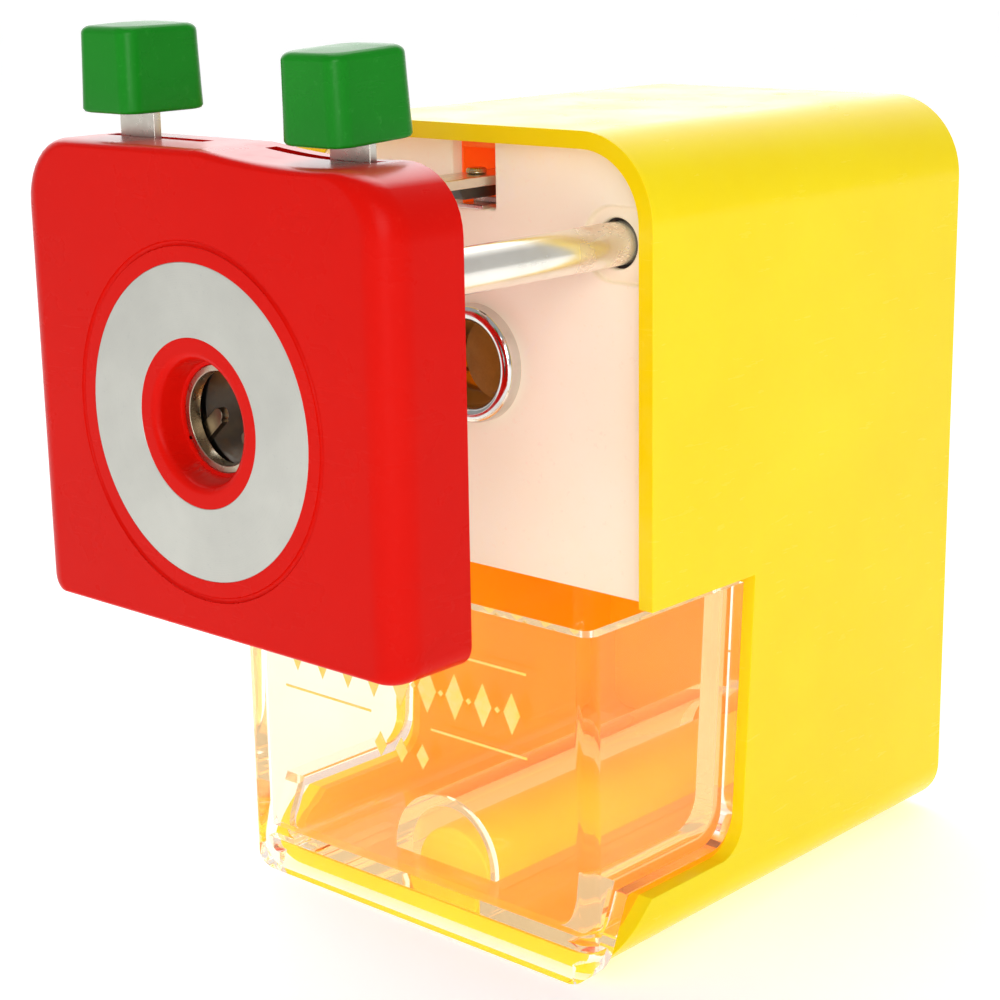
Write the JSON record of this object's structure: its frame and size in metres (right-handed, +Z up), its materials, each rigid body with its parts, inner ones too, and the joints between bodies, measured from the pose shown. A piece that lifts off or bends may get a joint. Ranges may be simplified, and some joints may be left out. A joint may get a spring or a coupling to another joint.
{
  "type": "pencil sharpener",
  "caption": "Desktop rotary pencil sharpener: moulded case, pull-out chuck plate with pinch levers, rear crank, helical cutter and clear shavings drawer.",
  "frame": {"origin": "on the table, under the middle of the whole sharpener, face plate pulled out and crank hanging down", "axes": "+X to the right seen from the front, +Y from the face plate towards the crank, +Z up"},
  "size_m": [0.069, 0.1712, 0.1299],
  "materials": {
    "case_yellow": "glossy moulded ABS",
    "cream_plastic": "fine satin moulded plastic",
    "orange_plastic": "moulded plastic",
    "red_plastic": "semi-gloss moulded ABS",
    "green_plastic": "semi-gloss moulded plastic",
    "clear_plastic": "clear moulded styrene",
    "satin_silver": "satin spun foil",
    "plated_steel": "nickel plated",
    "tube_steel": "plated tube with light rust",
    "dark_steel": "blackened",
    "tool_steel": "hardened and ground",
    "cast_zinc": "die cast",
    "black_plastic": "moulded",
    "foot_rubber": "soft rubber"
  },
  "bodies": {
    "case": {"outer_shell": "case_yellow", "rear_cover": "case_yellow", "front_panel": "cream_plastic", "bay_liner": "orange_plastic", "clamp_socket": "orange_plastic", "gear_frame": "orange_plastic", "latch_housing": "orange_plastic", "catch_leaf": "plated_steel", "pencil_ferrule": "plated_steel", "ring_gear": "cream_plastic", "rear_bush": "plated_steel", "guide_bush_left": "black_plastic", "guide_bush_right": "black_plastic", "return_spring_left": "plated_steel", "return_spring_right": "plated_steel", "case_screws": "plated_steel", "rubber_feet": "foot_rubber"},
    "chuck_plate": {"face_plate": "red_plastic", "face_back_plate": "red_plastic", "trim_disc": "satin_silver", "bore_cup": "plated_steel", "chuck_base": "plated_steel", "chuck_hub": "plated_steel", "lever_spring": "plated_steel", "guide_tube_left": "tube_steel", "guide_tube_right": "tube_steel", "slide_strip": "plated_steel", "catch_dog": "dark_steel", "strip_rivet": "dark_steel", "face_screws": "plated_steel"},
    "left_lever": {"lever_left": "plated_steel", "knob_left": "green_plastic"},
    "right_lever": {"lever_right": "plated_steel", "knob_right": "green_plastic"},
    "top_claw": {"claw_top": "plated_steel"},
    "left_claw": {"claw_left": "plated_steel"},
    "right_claw": {"claw_right": "plated_steel"},
    "crank": {"crank_shaft": "plated_steel", "cutter_carrier": "cast_zinc", "crank_arm": "plated_steel", "crank_nut": "plated_steel", "handle_spindle": "plated_steel"},
    "cutter": {"helical_cutter": "tool_steel", "cutter_pinion": "tool_steel", "cutter_axle": "plated_steel"},
    "handle": {"handle_knob": "green_plastic"},
    "drawer_box": {"drawer": "clear_plastic"}
  },
  "joints": [
    {"name": "plate_slide", "type": "slide", "parent": "case", "child": "chuck_plate", "axis": [0, 1, 0], "range_m": [0, 0.0344], "deforming": ["return_spring_left", "return_spring_right"]},
    {"name": "left_lever_pinch", "type": "hinge", "parent": "chuck_plate", "child": "left_lever", "pos_m": [0, -0.0772, 0.0812], "axis": [0, 1, 0], "range_deg": [0, 16], "stiffness_Nm_per_rad": 0.05, "springref_deg": -20.05},
    {"name": "right_lever_pinch", "type": "hinge", "parent": "chuck_plate", "child": "right_lever", "pos_m": [0, -0.0772, 0.0812], "axis": [0, 1, 0], "range_deg": [-16, 0], "stiffness_Nm_per_rad": 0.05, "springref_deg": 20.05},
    {"name": "top_claw_swing", "type": "hinge", "parent": "chuck_plate", "child": "top_claw", "pos_m": [0, -0.0788, 0.0907], "axis": [0, 1, 0], "range_deg": [-24, 0]},
    {"name": "right_claw_swing", "type": "hinge", "parent": "chuck_plate", "child": "right_claw", "pos_m": [0.00823, -0.0788, 0.07645], "axis": [0, 1, 0], "range_deg": [-24, 0]},
    {"name": "left_claw_swing", "type": "hinge", "parent": "chuck_plate", "child": "left_claw", "pos_m": [-0.00823, -0.0788, 0.07645], "axis": [0, 1, 0], "range_deg": [-24, 0]},
    {"name": "crank_turn", "type": "hinge", "parent": "case", "child": "crank", "pos_m": [0, 0, 0.0812], "axis": [0, 1, 0], "continuous": true},
    {"name": "cutter_spin", "type": "hinge", "parent": "crank", "child": "cutter", "pos_m": [0, -0.026, 0.0699], "axis": [0, 0.9816, 0.1908], "continuous": true},
    {"name": "handle_spin", "type": "hinge", "parent": "crank", "child": "handle", "pos_m": [0, 0.06, 0.0332], "axis": [0, 1, 0], "continuous": true},
    {"name": "drawer_slide", "type": "slide", "parent": "case", "child": "drawer_box", "axis": [0, -1, 0], "range_m": [0, 0.055]}
  ],
  "couplings": [
    {"joint": "right_lever_pinch", "follows": "left_lever_pinch", "ratio": -1},
    {"joint": "top_claw_swing", "follows": "left_lever_pinch", "ratio": -1.5},
    {"joint": "right_claw_swing", "follows": "left_lever_pinch", "ratio": -1.5},
    {"joint": "left_claw_swing", "follows": "left_lever_pinch", "ratio": -1.5},
    {"joint": "cutter_spin", "follows": "crank_turn", "ratio": -3}
  ]
}
